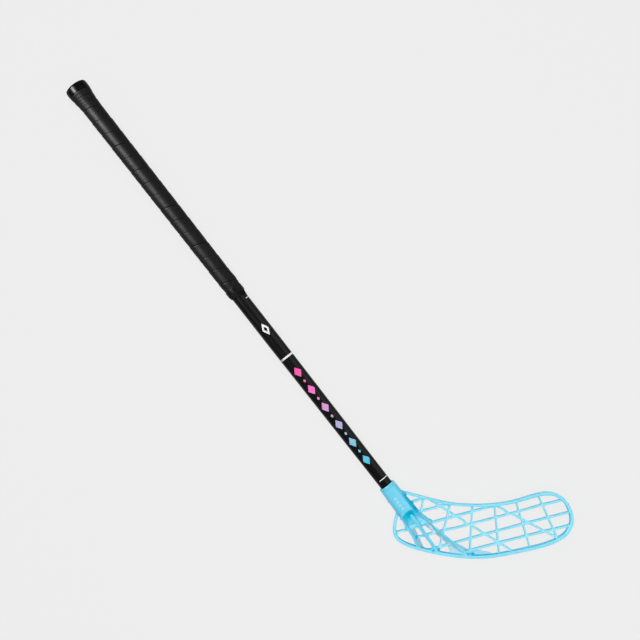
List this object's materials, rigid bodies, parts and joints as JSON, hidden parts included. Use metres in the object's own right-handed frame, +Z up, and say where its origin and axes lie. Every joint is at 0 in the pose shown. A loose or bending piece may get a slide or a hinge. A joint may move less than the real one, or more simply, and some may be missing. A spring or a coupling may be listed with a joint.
{
  "type": "floorball stick",
  "caption": "Floorball stick: tapered hollow shaft with a wound grip, flared butt cap and a hooked open-lattice plastic blade screwed on by its neck socket.",
  "frame": {"origin": "middle of the whole stick's box, on the surface that it lies on", "axes": "+X along the shaft from the butt to the blade, +Y to the blade's toe, +Z up out of the blade's front"},
  "size_m": [0.9714, 0.2324, 0.0338],
  "materials": {
    "shaft_lacquer": "glossy black lacquer",
    "cap_rubber": "smooth black rubber",
    "grip_foam": "soft black tape",
    "band_vinyl": "black vinyl tape",
    "blade_plastic": "moulded, slightly translucent",
    "screw_steel": "zinc plated"
  },
  "bodies": {
    "root": {"shaft": "shaft_lacquer", "butt_cap": "cap_rubber", "grip_tape": "grip_foam", "finishing_tape": "band_vinyl", "blade": "blade_plastic", "blade_screw": "screw_steel"}
  },
  "joints": []
}
